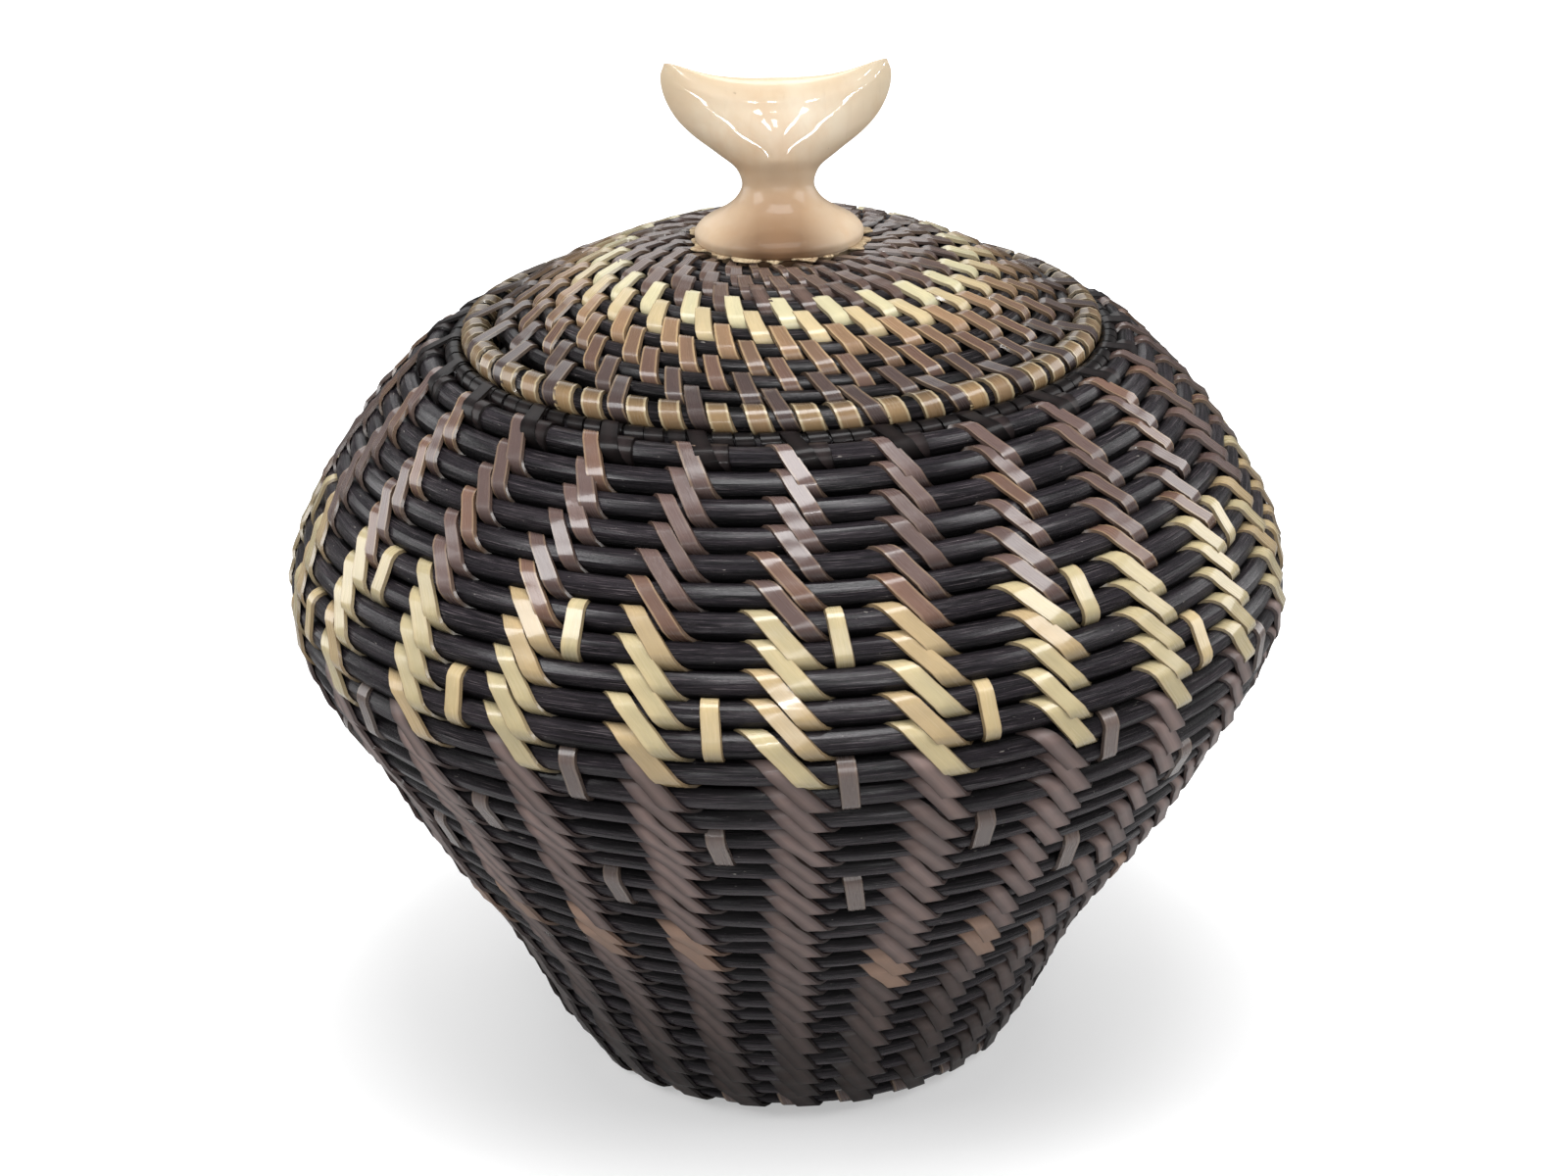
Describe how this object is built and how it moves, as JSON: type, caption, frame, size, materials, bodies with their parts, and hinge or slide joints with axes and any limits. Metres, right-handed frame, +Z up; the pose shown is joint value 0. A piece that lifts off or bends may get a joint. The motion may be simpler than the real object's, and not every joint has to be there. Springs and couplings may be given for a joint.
{
  "type": "lidded coiled basket",
  "caption": "Shouldered coiled basket of dark baleen rods bound with flat strips, with a pale band and a lift-off lid that has a whale-tail finial.",
  "frame": {"origin": "on the floor under the middle of the foot", "axes": "+Z up along the basket's axis, -Y towards the viewer and the broad side of the whale's tail, +X to the viewer's right"},
  "size_m": [0.1225, 0.1224, 0.1258],
  "materials": {
    "baleen_rod": "scraped black baleen with a soft sheen",
    "baleen_strip": "split baleen strip, grey-brown, with a pale band round the belly and the lid",
    "pale_binding": "pale baleen, frayed",
    "bone_disc": "polished bone",
    "bone_carving": "carved and polished bone or tusk"
  },
  "bodies": {
    "basket": {"base_starter_disc": "bone_disc", "base_rod": "baleen_rod", "lower_wall_rod": "baleen_rod", "belly_rod": "baleen_rod", "shoulder_rod": "baleen_rod", "mouth_hoop": "baleen_rod", "wall_binding_01": "baleen_strip", "wall_binding_02": "baleen_strip", "wall_binding_03": "baleen_strip", "wall_binding_04": "baleen_strip", "wall_binding_05": "baleen_strip", "wall_binding_06": "baleen_strip", "wall_binding_07": "baleen_strip", "wall_binding_08": "baleen_strip", "wall_binding_09": "baleen_strip", "wall_binding_10": "baleen_strip", "wall_binding_11": "baleen_strip", "wall_binding_12": "baleen_strip", "wall_binding_13": "baleen_strip", "wall_binding_14": "baleen_strip", "wall_binding_15": "baleen_strip", "wall_binding_16": "baleen_strip", "wall_binding_17": "baleen_strip", "wall_binding_18": "baleen_strip", "wall_binding_19": "baleen_strip", "wall_binding_20": "baleen_strip", "wall_binding_21": "baleen_strip", "wall_binding_22": "baleen_strip", "wall_binding_23": "baleen_strip", "wall_binding_24": "baleen_strip"},
    "lid": {"lid_rod": "baleen_rod", "lid_hoop": "baleen_rod", "lid_flange_rod": "baleen_rod", "lid_starter_disc": "bone_disc", "whale_tail": "bone_carving", "tail_collar": "pale_binding", "lid_binding_01": "baleen_strip", "lid_binding_02": "baleen_strip", "lid_binding_03": "baleen_strip", "lid_binding_04": "baleen_strip", "lid_binding_05": "baleen_strip", "lid_binding_06": "baleen_strip", "lid_binding_07": "baleen_strip", "lid_binding_08": "baleen_strip", "lid_binding_09": "baleen_strip", "lid_binding_10": "baleen_strip", "lid_binding_11": "baleen_strip", "lid_binding_12": "baleen_strip", "lid_binding_13": "baleen_strip", "lid_binding_14": "baleen_strip", "lid_binding_15": "baleen_strip", "lid_binding_16": "baleen_strip", "lid_binding_17": "baleen_strip", "lid_binding_18": "baleen_strip", "lid_binding_19": "baleen_strip", "lid_binding_20": "baleen_strip", "lid_binding_21": "baleen_strip", "lid_binding_22": "baleen_strip", "lid_binding_23": "baleen_strip", "lid_binding_24": "baleen_strip"}
  },
  "joints": [
    {"name": "lid_lift", "type": "slide", "parent": "basket", "child": "lid", "axis": [0, 0, 1], "range_m": [0, 0.06]}
  ]
}
